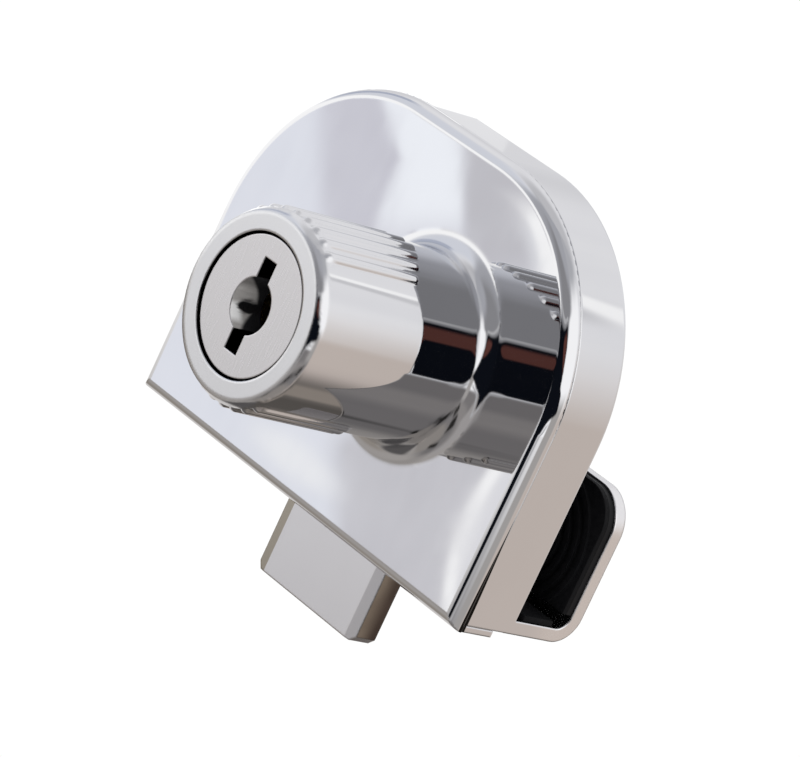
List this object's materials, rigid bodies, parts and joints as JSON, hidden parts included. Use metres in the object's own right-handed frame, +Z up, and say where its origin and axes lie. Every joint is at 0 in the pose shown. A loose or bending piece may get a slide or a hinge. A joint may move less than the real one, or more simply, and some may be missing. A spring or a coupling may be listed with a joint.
{
  "type": "glass cabinet door lock",
  "caption": "Clamp-on cylinder lock for a glass cabinet door: chromed arched housing, ribbed barrel with keyhole, flat bolt and a padded rear jaw for the pane.",
  "frame": {"origin": "where the barrel axis meets the front face of the pane, on the rear face of the front glass pad", "axes": "+Z up from the straight lower edge to the arched top, out of the glass slot; +Y from the barrel to the rear jaw; +X along the straight lower edge, to the side that the barrel is nearer to"},
  "size_m": [0.056, 0.0444, 0.0515],
  "materials": {
    "polished_chrome": "mirror polished",
    "satin_nickel": "satin, fine turning marks",
    "satin_zinc": "satin zinc plate",
    "zinc_steel": "bright zinc plate",
    "brass": "stamped, bare",
    "spring_steel": "drawn wire",
    "black_rubber": "matt",
    "black_steel": "blackened"
  },
  "bodies": {
    "housing": {"front_cover": "polished_chrome", "clamp_body": "polished_chrome", "cover_screws": "zinc_steel", "front_glass_pad": "black_rubber", "web_pad": "black_rubber"},
    "plug_group": {"plug": "satin_nickel", "wafer_1": "brass", "wafer_2": "brass", "wafer_3": "brass", "wafer_4": "brass", "wafer_5": "brass", "wafer_6": "brass", "wafer_spring_1": "spring_steel", "wafer_spring_2": "spring_steel", "wafer_spring_3": "spring_steel", "wafer_spring_4": "spring_steel", "wafer_spring_5": "spring_steel", "wafer_spring_6": "spring_steel", "drive_cam": "zinc_steel", "crank_pin": "zinc_steel", "cam_washer": "zinc_steel", "cam_screw": "zinc_steel"},
    "bolt": {"bolt": "satin_zinc"},
    "clamp_plate": {"pressure_plate": "black_steel", "rear_glass_pad": "black_rubber"},
    "grub_left": {"clamp_screw_left": "zinc_steel"},
    "grub_right": {"clamp_screw_right": "zinc_steel"}
  },
  "joints": [
    {"name": "bolt_throw", "type": "slide", "parent": "housing", "child": "bolt", "axis": [0, 0, 1], "range_m": [0, 0.0095]},
    {"name": "plug_turn", "type": "hinge", "parent": "housing", "child": "plug_group", "pos_m": [0, -0.0205, 0], "axis": [0, 1, 0], "range_deg": [0, 90]},
    {"name": "clamp_press", "type": "slide", "parent": "housing", "child": "clamp_plate", "axis": [0, -1, 0], "range_m": [0, 0.0014]},
    {"name": "clamp_left_turn", "type": "hinge", "parent": "clamp_plate", "child": "grub_left", "pos_m": [-0.0264, 0.0092, -0.0125], "axis": [0, -1, 0], "range_deg": [0, 720]},
    {"name": "clamp_right_turn", "type": "hinge", "parent": "clamp_plate", "child": "grub_right", "pos_m": [0.0116, 0.0092, -0.0125], "axis": [0, -1, 0], "range_deg": [0, 720]}
  ],
  "couplings": [
    {"joint": "plug_turn", "follows": "bolt_throw", "rad_per_m": 165.35},
    {"joint": "clamp_left_turn", "follows": "clamp_press", "rad_per_m": 8976},
    {"joint": "clamp_right_turn", "follows": "clamp_press", "rad_per_m": 8976}
  ]
}
